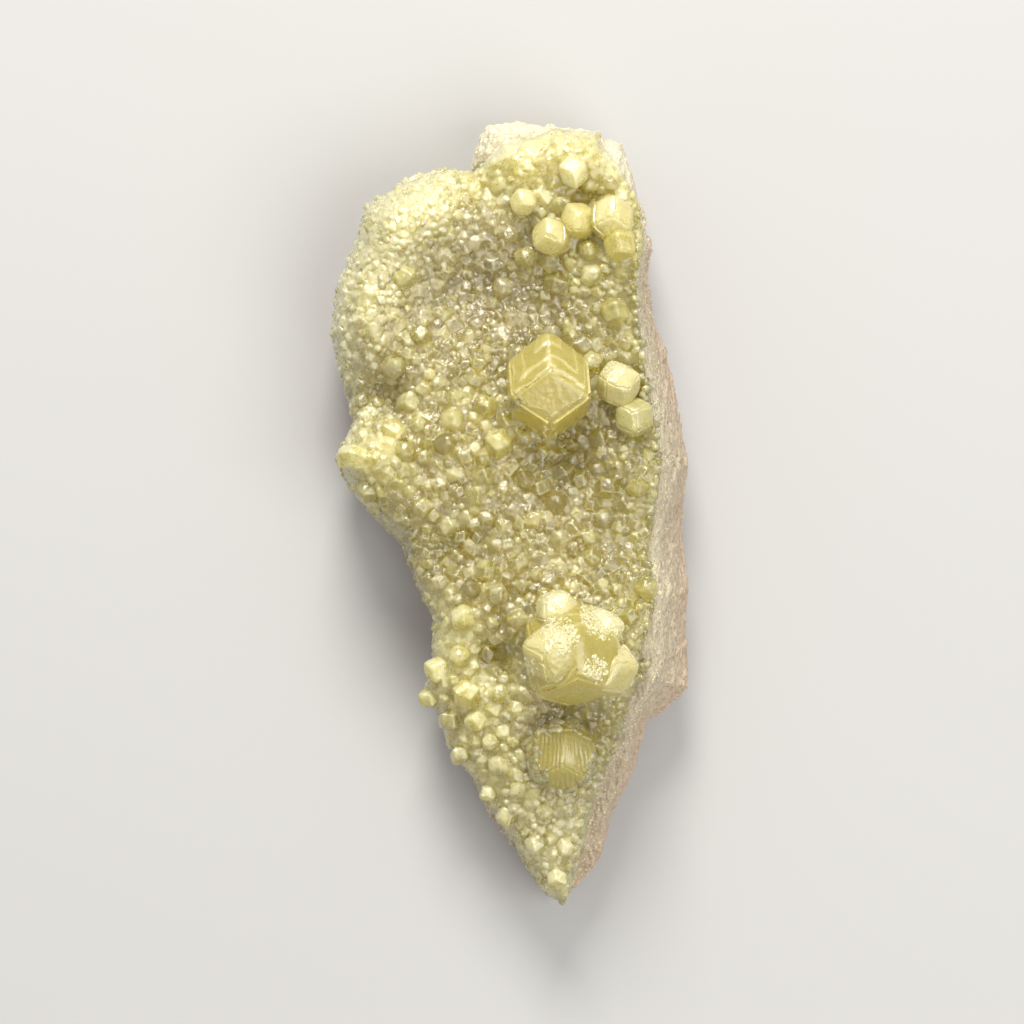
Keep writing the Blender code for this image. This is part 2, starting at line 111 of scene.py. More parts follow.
# Crystals of the druse that stand out: x, y and radius.
STANDING_OUT = (
    (8.6, 46.6, 2.9), (2, 35, 1.9), (10.6, 35.8, 2.2), (6.3, 31.5, 2.4), (11.1, 32.4, 2.1),
    (14.2, 27.6, 2.4), (5.6, 24.4, 1.9), (-14.6, 32.1, 2), (-12.4, 24.3, 1.7), (-16.3, 19.9, 2.4),
    (-3.6, 14.5, 2.3), (-9.1, 9.3, 2.2), (-1.6, 9.3, 2.6), (-14.5, 8.2, 1.9), (-21.6, 7.4, 2.6),
    (-19.8, 2.9, 2.4), (9.5, 4.3, 1.8), (6.2, 1.2, 2.3), (2, 4.2, 1.9), (-3.4, -0.9, 1.8),
    (13.2, 3.4, 2.2), (17.4, 3.2, 2.3), (12.7, -0.9, 1.9), (11.1, -6.3, 1.8), (-7, -3.6, 1.5),
    (18.6, -10.6, 2.5), (16.4, -14.4, 1.5), (-3.6, -8.1, 1.8), (-5.6, -10.8, 1.9), (-1.8, -11.5, 1.9),
    (-9.9, -9.7, 1.6), (-6.7, -14.7, 2.3), (-2.6, -15.5, 1.5), (-7.1, -20, 2.5), (-10.1, -22, 2.3),
    (-3.2, -19.6, 1.8), (-1.8, -25.2, 2), (-6.3, -25.1, 2.5), (-11.4, -25.8, 2), (-8.5, -28.8, 2.1),
    (-5, -28.9, 2.1), (-3, -31.9, 1.6), (-7, -33.7, 1.8), (-1.8, -35.2, 2.4), (0.8, -38.6, 1.6),
    (-3.2, -39, 1.6), (-0.6, -42.2, 1.8), (4.6, -41.6, 1.8), (3.4, -46.2, 1.9), (7.4, -46.6, 1.8),
    (6.4, -51, 2),
)

# Large crystals, by node: x, y, radius, rise of the middle above the druse, turn about X, Y and Z
# in degrees, tint (how yellow, green and clouded) and how crisp the edges are.
CRISP, SOFT, SOFTEST = 20.0, 9.0, 6.5
LARGE = {
    "crystal_centre": (((5.1, 17, 7.2, 2.1), (17, 3, 2), (0.9, 0.05, 0.25), CRISP),),
    "crystals_upper_right": (
        ((5.5, 37.7, 3.2, 1), (30, -14, 8), (0.7, 0.08, 0.56), SOFT),
        ((9.1, 39.9, 3, 1.2), (22, 18, 40), (0.78, 0.1, 0.52), SOFT),
        ((13.7, 40.2, 3.8, 1), (34, 8, -6), (0.65, 0.2, 0.64), SOFT),
        ((14.9, 36.6, 2.7, 1.4), (58, -10, 10), (0.8, 0.15, 0.36), SOFT),
    ),
    "crystal_upper_middle": (((1.7, 42.5, 2.3, 0.9), (38, -10, 20), (0.6, 0.05, 0.7), SOFT),),
    "crystals_right": (
        ((14.7, 17.4, 3.6, 1.5), (-12, 20, 14), (0.6, 0.1, 0.7), SOFT),
        ((16.9, 12.9, 3.3, 0.7), (28, 10, 60), (0.5, 0.4, 0.4), SOFT),
    ),
    "crystals_lower": (
        ((8.4, -19.6, 8.3, 1.6), (62, 4, 4), (0.95, 0.05, 0.3), SOFT),
        ((5.7, -19.3, 4.8, 6), (20, -12, 70), (0.75, 0.05, 0.6), SOFT),
        ((13.2, -21.6, 4.6, 3.6), (34, 22, 30), (0.6, 0.05, 0.6), SOFT),
        ((6.3, -13.8, 3.6, 3.8), (-16, 10, 50), (0.65, 0.05, 0.75), SOFT),
        ((12.6, -16.2, 3.2, 3.2), (10, 30, 20), (0.55, 0.05, 0.8), SOFT),
    ),
    "crystal_half_buried": (((6.9, -33.4, 6.2, -0.2), (55, 4, -4), (0.92, 0, 0.22), SOFTEST),),
}

# The ledge on each face of a large crystal: softness, place as a share of the face's width, and
# height as a share of the radius. Faces of the largest that look up the plate have softer terraces
# too: place, height and softness.
LEDGE, LEDGE_AT, LEDGE_RISE = 0.05, (0.07, 0.12), (0.034, 0.050)
STEPPED_FROM, STEPPED_FACING = 4.5, 0.15
TERRACES = (((0.30, 0.45), (0.018, 0.030), 0.06), ((0.60, 0.75), (0.014, 0.024), 0.08))

# Crusts of fine crystals on the large ones: x, y, reach, places tried, largest radius and tint. The
# white ones look like sugar, the others belong to the druse around.
WHITE, PALE = (0.30, 0.0, 1.0), (0.55, 0.15, 0.55)
DUSTINGS = (
    (12.6, -14.2, 3.4, 1800, 0.42, WHITE), (11.4, -21.4, 2, 800, 0.42, WHITE),
    (6.4, -17, 2.9, 1300, 0.42, WHITE), (2.2, -21.2, 1.4, 300, 0.38, WHITE),
    (14.2, 19.6, 2.2, 900, 0.38, WHITE), (6, -11.8, 2.2, 900, 0.42, WHITE),
    (4.6, -28.8, 2.4, 220, 0.9, WHITE), (9.8, -28.4, 2.2, 140, 0.9, PALE), (2, -33, 2.2, 160, 1, PALE),
    (12.2, -35.4, 2.4, 160, 0.9, PALE), (3, -37, 2.4, 160, 1, PALE), (11, -38, 2, 120, 0.8, PALE),
    (0.8, 14.8, 1.2, 40, 0.6, PALE),
)

# Places to choose from, least radius, depth as a share of the radius, how near two may come, as a
# share of both radii, and the power by which they thin out with distance.
DUST_SAMPLES, LEAST_DUST = 60000, 0.18
DUST_DEPTH, DUST_NEAR, DUST_THINS = 0.4, 0.34, 0.7

# A large crystal's faces: spacing of their grids, width of the edges and how much they are whitened,
# partly as wear and partly as painted highlight, and scale and size of the ledges' wobble and jags and
# of broad and fine relief, on a crystal of radius 1.
GRID_SPACING, MOST_CELLS = 0.13, 56
EDGE_WIDTH, EDGE_WEAR_AND_HIGHLIGHT = 0.03, 0.6
WOBBLE, JAGS = (2.4, 0.12), (0.25, 0.30)
BROAD_RELIEF, FINE_RELIEF = (1.6, 0.010), (9.0, 0.0014)

# Angles in degrees from which an edge is sharp, on large and small crystals and on the plate.
LARGE_SHARP, SMALL_SHARP, PLATE_SHARP = 32, 75, 28

# The plate's wall: distance between points, then between rings, and how many rings. Its relief is
# long and short facets and ragged noise, by height and width or scale.
WALL_SPACING, WALL_STEP, WALL_STEPS = 0.42, 0.45, 60
LONG_FACETS, SHORT_FACETS, RAGGED = (0.20, 2.4), (0.24, 0.9), (0.20, 1.1)

# The fine ridges on the half buried crystal: spacing, height, and how much they fan out.
RIDGE_SPACING, RIDGE_HEIGHT, RIDGE_FAN = 0.58, 0.12, 0.04

# The small crystals: x, y and reach of a spot, mean radius and depth as a share of the radius.
USUAL_SIZE = (1.20, 0.45)
SIZE_SPOTS = (
    (-16, 39, 8, 0.5, 0.45), (-5, 33, 7, 1, 0.4), (4, 50.5, 6, 2.4, 0.72), (11, 50, 5, 2.5, 0.74),
    (-20, 26, 6, 0.95, 0.45), (-14, 24, 4, 1.4, 0.45), (-19, 16, 5, 1.1, 0.45), (-18, 5, 6, 1.7, 0.5),
    (-5, 21, 6, 1.1, 0.4), (-6, 11, 6, 1.35, 0.45), (3, 27, 5, 1.1, 0.4), (8, 3, 7, 1.4, 0.45),
    (18, 2, 5, 1.3, 0.45), (-7, -22, 7, 1.6, 0.5), (-2, -36, 6, 1.5, 0.5), (6, -47, 6, 1.3, 0.45),
    (13, -9, 5, 1.2, 0.45), (10, 34, 5, 1.4, 0.4), (14, 27, 4, 1.3, 0.4), (-9, -4, 5, 1.35, 0.4),
    (12, -30, 4, 0.85, 0.4), (10, -40, 4, 0.85, 0.4), (18, -17, 5, 0.9, 0.45), (1, -8, 5, 1.3, 0.45),
)

# Passes of small crystals: places tried, size against the mean, how near two may come as a share
# of both radii, and how much deeper they sit.
PASSES = ((2400, 2, 0.5, 0.3), (9000, 1.45, 0.5, 0), (14000, 1, 0.5, 0), (12000, 0.62, 0.54, 0))
LEAST_RADIUS, MOST_RADIUS = 0.24, 2.5
RADIUS_SPREAD, RADIUS_RANGE, SINK_VARIES = 0.22, (0.6, 1.7), 0.25

# Near the druse's edge, radii are at most this plus this share of the distance.
EDGE_RADIUS, EDGE_GROWTH = 0.75, 0.32

# Crystals grow on faces that look up at least this much. Their middles stay out of the large ones:
# beyond this share of the large one's radius, less this share of their own.
LEAST_UPWARD = -0.2
LARGE_CLEAR, SMALL_CLEAR = 0.80, 0.1

# The crystals that stand out are a little smaller and deeper than the solids' plain ones, and keep
# small ones away as if they were this much larger.
OUT_SIZE, OUT_DEPTH, OUT_CLEAR = 0.97, (0.05, 0.35), 1.5

# Ways to divide the faces of small crystals: the least radius of each, and the shares of a side.
# Then how many forms each way has, and how crisp they are.
DIVISIONS = (
    (1.8, (0, 0.08, 0.26, 0.74, 0.92, 1)), (0.95, (0, 0.15, 0.85, 1)), (0.48, (0, 0.5, 1)),
    (0, (0, 1)),
)
FORMS_EACH, ROUNDEST, CRISPEST = 14, 6.0, 18.0

# How far the faces of a small crystal stand from its middle, against the even distance, how far the
# planes that cut off edges do, and how many forms there are to one with cuts.
FACE_VARIES, EDGE_CUT, CUT_ONE_IN = (0.90, 1.06), (0.80, 0.86), 3

# The garnet's looks: clearness, absorption, glow, patchiness of its clouds, whitening of marked edges
# (partly frosted wear, partly painted highlight) and gloss. Then its roughness, and the colours of its
# frost, which also carries painted highlight, and of its depth.
LOOKS = {
    "grossular_small": (0.94, 300, 0.7, 0.5, 0.2, 0.8),
    "grossular_sugar": (0.55, 80, 0, 0.5, 0, 0.8),
    "grossular_large": (0.78, 200, 0, 0.2, 0.5, 0.3),
}
ROUGHNESS = 0.2
FROST_AND_HIGHLIGHT, ABSORPTION = (0.95, 0.89, 0.56), (0.95, 0.90, 0.45, 1.0)

# How much crystals are stretched, how far apart two must be to share a layer, as a share of both
# radii, and how much the tints vary.
STRETCH, APART, TINT_VARIES = 0.12, 1.2, (0.15, 0.08, 0.14)
MOST_TRIANGLES = 190000

# How far below the druse's height crystals grow from, and the crust between them lies. The crust is
# uneven, and has fine beads: spacing, height, grid that carries them and reach in spacings.
GROWTH_DEPTH, CRUST_DEPTH = 0.35, 0.55
UNEVEN_SCALE, UNEVEN_HEIGHT = 0.45, 0.35
BEAD_SPACING, BEAD_HEIGHT, BEAD_CELL, BEAD_REACH = 0.85, 0.34, 0.32, 0.6

# The grids of plain surfaces: under the druse, on the plate and where crystals are placed.
UNDER_CELL, PLATE_CELL, GROWTH_CELL = 2.0, 1.5, 0.7

# Bare calcite that shows through the druse: x, y and radius.
BARE_SPOTS = ((15.2, 49, 2.6), (-1.6, 51.4, 3))

# Stray crystals on the bare wall beside the druse: places tried, reach, radii, and as for crusts.
STRAYS, STRAY_REACH, STRAY_RADIUS = 40000, 2.8, (0.18, 0.40)
STRAY_DEPTH, STRAY_NEAR, STRAY_THINS = 0.45, 0.6, 1.5
STRAY_TINT = (0.15, 0.0, 1.0)

# The tints of the druse: x, y, reach, then how yellow, how green and how clouded it is there. The
# crust between crystals is a little clearer, and whitish on the bare spots.
USUAL_TINT = (0.50, 0.15, 0.40)
USUAL_WEIGHT, CRUST_CLOUDED, BARE_TINT = 0.15, 0.9, (0.30, 0.0, 1.0, 0.4)
TINT_SPOTS = (
    (-16, 39, 8, 0.45, 0.05, 1), (-5, 32, 7, 0.2, 0.05, 0.12), (3, 50, 7, 0.85, 0.05, 0.8),
    (13, 49, 5, 0.65, 0.05, 0.85), (8, 37, 5, 0.85, 0.1, 0.5), (15, 37, 5, 0.8, 0.15, 0.6),
    (-21, 6, 4, 0.9, 0.15, 0.75), (-21, 26, 5, 0.45, 0.1, 0.85), (-17, 20, 4, 0.4, 0.1, 0.35),
    (-5, 22, 6, 0.45, 0.15, 0.25), (-6, 11, 6, 0.6, 0.15, 0.35), (3, 26, 5, 0.35, 0.15, 0.15),
    (8, 3, 7, 0.6, 0.15, 0.08), (15, 26, 4, 0.45, 0.25, 0.4), (18, 3, 5, 0.4, 0.45, 0.28),
    (17, -11, 5, 0.5, 0.35, 0.28), (-6, -5, 5, 0.6, 0.1, 0.25), (-8, -21, 6, 0.8, 0.12, 0.82),
    (-1, -17, 3, 0.6, 0.1, 0.2), (-3, -36, 6, 0.72, 0.08, 0.78), (6, -46, 7, 0.45, 0.1, 0.9),
    (6, -33, 5, 0.65, 0.05, 0.15), (12, -38, 4, 0.3, 0.1, 0.6), (4, -7, 5, 0.6, 0.05, 0.42),
    # The last three spots cloud the steep left edge, so that it is pale cream, not greyed by the
    # floor: painted light.
    (8.6, 45.6, 3, 0.9, 0.1, 0.3), (-24.5, 23, 3.5, 0.4, 0, 1), (-24, 33, 3.5, 0.4, 0, 1),
    (-23.5, 12, 3, 0.45, 0, 0.9),
)


def smooth(t):
    t = np.clip(t, 0.0, 1.0)
    return t * t * (3.0 - 2.0 * t)


def outline_moved_in(distance):
    """The outline with each point moved inwards by distance(point)."""
    points = [Vector(p[:2]) for p in OUTLINE]
    moved = []
    for i, point in enumerate(points):
        along = points[(i + 1) % len(points)] - points[i - 1]
        inward = Vector((along.y, -along.x)).normalized()
        moved.append(point + inward * distance(OUTLINE[i]))
    return moved


def wall_width(point):
    return point[2]


def side_lean(length, share):
    """How far the matrix's side lies inside the outline, less where the plate is narrow."""

    def lean(point):
        room = min(1.0, LEAST_LEAN + (point[1] - POINT_Y) / POINT_ROOM)
        return length * room + share * point[2]

    return lean


def inside(xy, ring):
    """Whether each point is inside the ring, by counting crossings."""
    x, y = xy[:, :1], xy[:, 1:]
    x0, y0 = ring[:, 0], ring[:, 1]
    x1, y1 = np.roll(x0, -1), np.roll(y0, -1)
    spans = (y0 > y) != (y1 > y)
    rise = np.where(y1 == y0, 1e-9, y1 - y0)
    crossing = x0 + (y - y0) * (x1 - x0) / rise
    return (spans & (x < crossing)).sum(1) % 2 == 1


def edge_facts(xy):
    """At each point: distance to the druse's edge, its height, wall width, and if inside."""
    ring = np.array([tuple(p) for p in outline_moved_in(wall_width)])
    facts = np.array([p[2:] for p in OUTLINE])
    along = np.roll(ring, -1, 0) - ring
    gone = xy[:, None, :] - ring[None]
    t = np.clip((gone * along).sum(2) / (along * along).sum(1), 0, 1)
    away = np.linalg.norm(gone - t[..., None] * along, axis=2)
    weight = 1.0 / (away**2 + EDGE_BLEND) ** 2
    weight /= weight.sum(1, keepdims=True)
    blend = facts[None] * (1 - t[..., None]) + np.roll(facts, -1, 0)[None] * t[..., None]
    wall, height = (blend * weight[..., None]).sum(1).T
    return away.min(1), height, wall, inside(xy, ring)


def druse_height(xy):
    """Height of the druse's surface, before its crystals, at an array of points."""
    xy = np.asarray(xy, float).reshape(-1, 2)
    distance, edge, _, within = edge_facts(xy)
    y = xy[:, 1]
    plateau = PLATE_TOP - POINT_SLOPE * np.maximum(POINT_BEND - y, 0.0)
    for lump_x, lump_y, radius, height in LUMPS:
        gone = (xy[:, 0] - lump_x) ** 2 + (y - lump_y) ** 2
        plateau = plateau + height * np.exp(-gone / radius**2)
    depth = np.where(within, distance, 0.0)
    share = np.sqrt(np.clip(1 - (1 - np.clip(depth / SHOULDER, 0, 1)) ** 2, 0, 1))
    return edge + (plateau - edge) * share


def floor_height(xy):
    """Height of the druse's underside: it dips at the edges where the druse wraps over them."""
    xy = np.asarray(xy, float).reshape(-1, 2)
    distance, _, wall, within = edge_facts(xy)
    near = np.where(within, 1 - smooth(distance / WRAP), 1.0)
    bare = smooth((wall - BARE_FROM) / BARE_OVER)
    return druse_height(xy) - CRUST - SKIRT * near * (1 - bare)


def large_crystals(name):
    """Centre, radius, turn, tint and crispness of each large crystal of a node."""
    found = []
    for (x, y, radius, rise), degrees, tint, crispness in LARGE[name]:
        centre = Vector((x, y, druse_height((x, y))[0] + rise))
        turn = Euler([math.radians(d) for d in degrees]).to_quaternion()
        found.append((centre, radius, turn, tint, crispness))
    return found


PLACED = {name: large_crystals(name) for name in LARGE}

# From the places above to the frame: one plain crystal's node is centred on its own place.
LOW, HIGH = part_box("crystal_upper_middle")
SHIFT = (LOW + HIGH) / 2 - PLACED["crystal_upper_middle"][0][0] * MM


def blended_spots(xy, spots, usual):
    """Values at each point, blended from spots of x, y, reach and values."""
    spots = np.array(spots)
    usual = np.atleast_1d(usual)
    weight = np.exp(-((xy[:, None] - spots[None, :, :2]) ** 2).sum(2) / spots[:, 2] ** 2)
    total = weight.sum(1, keepdims=True)
    return (weight @ spots[:, 3:] + USUAL_WEIGHT * usual) / (total + USUAL_WEIGHT)


def link(name, mesh):
    obj = bpy.data.objects.new(name, mesh)
    bpy.context.scene.collection.objects.link(obj)
    return obj


def mesh_from(bm, name):
    mesh = bpy.data.meshes.new(name)
    bm.to_mesh(mesh)
    bm.free()
    return mesh


def combined(first, others, operation):
    """The first mesh cut by or joined with the others, in turn. All of them are closed."""
    base = link("base", first)
    helpers = []
    for mesh in others:
        other = link("other", mesh)
        helpers.append(other)
        modifier = base.modifiers.new(operation, "BOOLEAN")
        modifier.operation = operation
        modifier.solver = "MANIFOLD"
        modifier.object = other
    graph = bpy.context.evaluated_depsgraph_get()
    mesh = bpy.data.meshes.new_from_object(base.evaluated_get(graph))
    for obj in [base, *helpers]:
        bpy.data.objects.remove(obj)
    return mesh


def piece(name, mesh, nodes, material):
    """Makes a finished piece from a mesh in millimetres."""
    mesh.transform(Matrix.Translation(SHIFT) @ Matrix.Scale(MM, 4))
    mesh.materials.clear()
    mesh.materials.append(material)
    obj = link(name, mesh)
    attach(obj, "root")
    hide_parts(*nodes)


def loft(rings):
    """A closed body through rings of equal length, each a height and a list of points."""
    bm = bmesh.new()
    rows = [[bm.verts.new((p[0], p[1], z)) for p in points] for z, points in rings]
    for low, high in zip(rows, rows[1:]):
        for i in range(len(low)):
            j = (i + 1) % len(low)
            bm.faces.new((low[i], high[i], high[j], low[j]))
    bm.faces.new(rows[0])
    bm.faces.new(rows[-1][::-1])
    bmesh.ops.recalc_face_normals(bm, faces=bm.faces)
    bmesh.ops.triangulate(bm, faces=bm.faces, quad_method="FIXED", ngon_method="EAR_CLIP")
    return bm


def block_from_surface(height, far, cell):
    """A closed block between a surface z = height(points) and the plane z = far."""
    bm = bmesh.new()
    bmesh.ops.create_grid(
        bm,
        x_segments=round(2 * BLOCK_X / cell),
        y_segments=round(2 * BLOCK_Y / cell),
        size=1.0,
        matrix=Matrix.Diagonal((BLOCK_X, BLOCK_Y, 1.0, 1.0)),
    )
    surface = list(bm.verts)
    heights = height(np.array([v.co[:2] for v in surface]))
    skin = bmesh.ops.extrude_face_region(bm, geom=bm.faces[:])
    for vert in (g for g in skin["geom"] if isinstance(g, bmesh.types.BMVert)):
        vert.co.z = far
    for vert, z in zip(surface, heights):
        vert.co.z = z
    bmesh.ops.recalc_face_normals(bm, faces=bm.faces)
    bmesh.ops.triangulate(bm, faces=bm.faces, quad_method="FIXED")
    return mesh_from(bm, "block")


def facets(point, cell):
    """Height at a point of a surface of flat tilted facets, about as wide as the cell."""
    _, corners = noise.voronoi(point / cell)
    tilt = noise.noise_vector(corners[0] * 3.7 + Vector((5.1, 1.3, 8.9))).normalized()
    return (point / cell - corners[0]).dot(tilt) * cell


def garnet_form():
    """A rhombic dodecahedron, cut from a cube and turned so that a face looks along +Z."""
    bm = bmesh.new()
    bmesh.ops.create_cube(bm, size=3.0)
    signs = itertools.product((-1, 0, 1), repeat=3)
    for normal in [Vector(three).normalized() for three in signs if sum(map(abs, three)) == 2]:
        cut = bmesh.ops.bisect_plane(
            bm,
            geom=bm.verts[:] + bm.edges[:] + bm.faces[:],
            dist=1e-5,
            plane_co=normal * FACE_DISTANCE,
            plane_no=normal,
            clear_outer=True,
        )
        edges = [g for g in cut["geom_cut"] if isinstance(g, bmesh.types.BMEdge)]
        if edges:
            bmesh.ops.edgeloop_fill(bm, edges=edges)
    for degrees, axis in ((-45, "Z"), (-90, "Y"), (90, "Z")):
        turn = Matrix.Rotation(math.radians(degrees), 3, axis)
        bmesh.ops.rotate(bm, verts=bm.verts, matrix=turn)
    bmesh.ops.recalc_face_normals(bm, faces=bm.faces)
    return bm


def between(corners, u, v):
    """The point of a four-sided face at two shares of its sides."""
    a, b, c, d = corners
    return a * (1 - u) * (1 - v) + b * u * (1 - v) + c * u * v + d * (1 - u) * v


def divided_form(shares):
    """A rhombic dodecahedron with a grid on each face, at the given shares of its sides.

    Gives the points, the triangles, whether each is along an edge, and the normals of the faces and
    of the planes that would cut off the edges.
    """
    bm = garnet_form()
    points, triangles, along_edge = [], [], []
    cells = len(shares) - 1
    for face in bm.faces:
        corners = [np.array(v.co) for v in face.verts]
        first = len(points)
        points += [between(corners, u, v) for u, v in itertools.product(shares, shares)]
        for i, j in itertools.product(range(cells), range(cells)):
            near, far = first + i * (cells + 1) + j, first + (i + 1) * (cells + 1) + j
            triangles += [(near, far, far + 1), (near, far + 1, near + 1)]
            along_edge += [float(cells > 2 and (min(i, j) == 0 or max(i, j) == cells - 1))] * 2
    faces = np.array([face.normal for face in bm.faces])
    sums = [sum((face.normal for face in edge.link_faces), Vector()) for edge in bm.edges]
    edges = np.array([total.normalized() for total in sums])
    bm.free()
    points, places = np.unique(np.round(points, 5), axis=0, return_inverse=True)
    return points, places.reshape(-1)[np.array(triangles)], np.array(along_edge), faces, edges


def rounded_body(points, normals, distances, crispness):
    """The points moved out to the body of the planes, its edges rounded, and its normals there."""
    along = np.clip(points @ normals.T, 0, None) / distances
    total = (along**crispness).sum(1, keepdims=True)
    slope = along ** (crispness - 1) @ (normals / distances[:, None])
    return points / total ** (1 / crispness), slope / np.linalg.norm(slope, axis=1, keepdims=True)


def small_forms(shares, rng):
    """Small garnets of radius 1, a little uneven and rounded: points, triangles and edge marks."""
    points, triangles, along_edge, faces, edges = divided_form(shares)
    forms = []
    for number in range(FORMS_EACH):
        normals = faces
        distances = FACE_DISTANCE * np.array([rng.uniform(*FACE_VARIES) for _ in faces])
        if number % CUT_ONE_IN == 0:
            normals = np.concatenate((faces, edges))
            distances = np.append(distances, [rng.uniform(*EDGE_CUT) for _ in edges])
        moved, _ = rounded_body(points, normals, distances, rng.uniform(ROUNDEST, CRISPEST))
        forms.append((moved, triangles, along_edge))
    return forms


def surface_samples(mesh, count, rng):
    """Random points, even over a mesh's faces that don't look down, with their normals."""
    mesh.calc_loop_triangles()
    points = np.array([v.co[:] for v in mesh.vertices])
    corners = np.array([t.vertices[:] for t in mesh.loop_triangles])
    a, b, c = (points[corners[:, n]] for n in range(3))
    normal = np.cross(b - a, c - a)
    area = np.linalg.norm(normal, axis=1)
    normal /= area[:, None] + 1e-12
    area = np.where(normal[:, 2] > LEAST_UPWARD, area, 0.0)
    chosen = rng.choice(len(area), size=count, p=area / area.sum())
    u, v = rng.random(count), rng.random(count)
    flip = u + v > 1
    u[flip], v[flip] = 1 - u[flip], 1 - v[flip]
    spots = a[chosen] + (b - a)[chosen] * u[:, None] + (c - a)[chosen] * v[:, None]
    return spots, normal[chosen]


class Crowd:
    """Spheres in grids of cells, one grid for each range of radii, to find those near a place."""

    LIMITS = (0.55, 1.1, 4.8)
    CELL = 1.3

    def __init__(self):
        self.grids = [(limit, limit * self.CELL, {}) for limit in self.LIMITS]

    def add(self, centre, radius):
        _, cell, grid = next(g for g in self.grids if radius <= g[0])
        key = tuple(int(c // cell) for c in centre)
        grid.setdefault(key, []).append((*centre, radius))

    def free(self, centre, radius, share):
        x, y, z = centre
        for limit, cell, grid in self.grids:
            reach = int(share * (radius + limit) // cell) + 1
            around = [range(int(c // cell) - reach, int(c // cell) + reach + 1) for c in centre]
            for key in itertools.product(*around):
                for ox, oy, oz, other in grid.get(key, ()):
                    if (ox - x) ** 2 + (oy - y) ** 2 + (oz - z) ** 2 < (share * (radius + other)) ** 2:
                        return False
        return True


def open_places(centres, radii):
    """Whether each small crystal lies neither inside a large one nor on a bare spot."""
    found = np.ones(len(centres), bool)
    for x, y, reach in BARE_SPOTS:
        found &= np.hypot(centres[:, 0] - x, centres[:, 1] - y) >= reach
    for crystals in PLACED.values():
        for centre, radius, *_ in crystals:
            away = np.linalg.norm(centres - np.array(centre), axis=1)
            found &= away >= LARGE_CLEAR * radius - SMALL_CLEAR * radii
    return found


def crystal_places(base, plate, large):
    """Centre, radius and any tint of its own of every small crystal.

    They sit on the crust, a few strays on the bare wall beside it, and dustings on large crystals.
    """
    rng = np.random.default_rng(SEED)
    crowd = Crowd()
    places = []

    def settle(centres, radii, share, tint=None, clear=1.0):
        for centre, radius in zip(centres.tolist(), radii.tolist()):
            if crowd.free(centre, radius, share):
                crowd.add(centre, radius * clear)
                places.append((centre, radius, tint))

    standing = np.array(STANDING_OUT)
    radii = standing[:, 2] * OUT_SIZE
    heights = druse_height(standing[:, :2]) - rng.uniform(*OUT_DEPTH, len(radii)) * radii
    centres = np.column_stack((standing[:, :2], heights))
    kept = open_places(centres, radii)
    settle(centres[kept], radii[kept], 0.0, clear=OUT_CLEAR)
    for tries, size, share, deeper in PASSES:
        spots, normals = surface_samples(base, tries, rng)
        mean, depth = blended_spots(spots[:, :2], SIZE_SPOTS, USUAL_SIZE).T
        radii = mean * size * np.clip(rng.normal(1.0, RADIUS_SPREAD, tries), *RADIUS_RANGE)
        inward, _, _, within = edge_facts(spots[:, :2])
        room = EDGE_RADIUS + EDGE_GROWTH * np.where(within, inward, 0.0)
        radii = np.clip(radii, LEAST_RADIUS, np.minimum(room, MOST_RADIUS))
        sinks = radii * (depth + deeper + rng.uniform(-SINK_VARIES, SINK_VARIES, tries))
        centres = spots - normals * sinks[:, None]
        kept = open_places(centres, radii)
        settle(centres[kept], radii[kept], share)

    spots, normals = surface_samples(plate, STRAYS, rng)
    distance, _, _, within = edge_facts(spots[:, :2])
    close = distance < STRAY_REACH * rng.random(STRAYS) ** STRAY_THINS
    near = ~within & close & (spots[:, 2] > SHOULDER)
    radii = rng.uniform(*STRAY_RADIUS, near.sum())
    sinks = normals[near] * radii[:, None] * STRAY_DEPTH
    settle(spots[near] - sinks, radii, STRAY_NEAR, STRAY_TINT)

    spots, normals = surface_samples(large, DUST_SAMPLES, rng)
    for x, y, reach, tries, largest, tint in DUSTINGS:
        away = np.hypot(spots[:, 0] - x, spots[:, 1] - y)
        near = np.flatnonzero(away < reach * rng.random(len(spots)) ** DUST_THINS)[:tries]
        radii = rng.uniform(LEAST_DUST, largest, len(near))
        sinks = normals[near] * radii[:, None] * DUST_DEPTH
        settle(spots[near] - sinks, radii, DUST_NEAR, tint)
    return places


def division(radius):
    """Which way of dividing the faces holds for a crystal of this radius."""
    return next(number for number, (least, _) in enumerate(DIVISIONS) if radius >= least)


def store_tints(mesh, tints):
    """Gives each face of a mesh its tint."""
    layer = mesh.attributes.new("tint", "FLOAT_COLOR", "FACE")
    layer.data.foreach_set("color", tints.astype(np.float32).ravel())


def tinted_mesh(points, triangles, tints):
    """A mesh from arrays, with the tint of each triangle."""
    mesh = bpy.data.meshes.new("crystals")
    mesh.vertices.add(len(points))
    mesh.vertices.foreach_set("co", points.astype(np.float32).ravel())
    mesh.loops.add(triangles.size)
    mesh.loops.foreach_set("vertex_index", triangles.astype(np.int32).ravel())
    mesh.polygons.add(len(triangles))
    mesh.polygons.foreach_set("loop_start", np.arange(0, triangles.size, 3, dtype=np.int32))
    mesh.update(calc_edges=True)
    store_tints(mesh, tints)
    return mesh


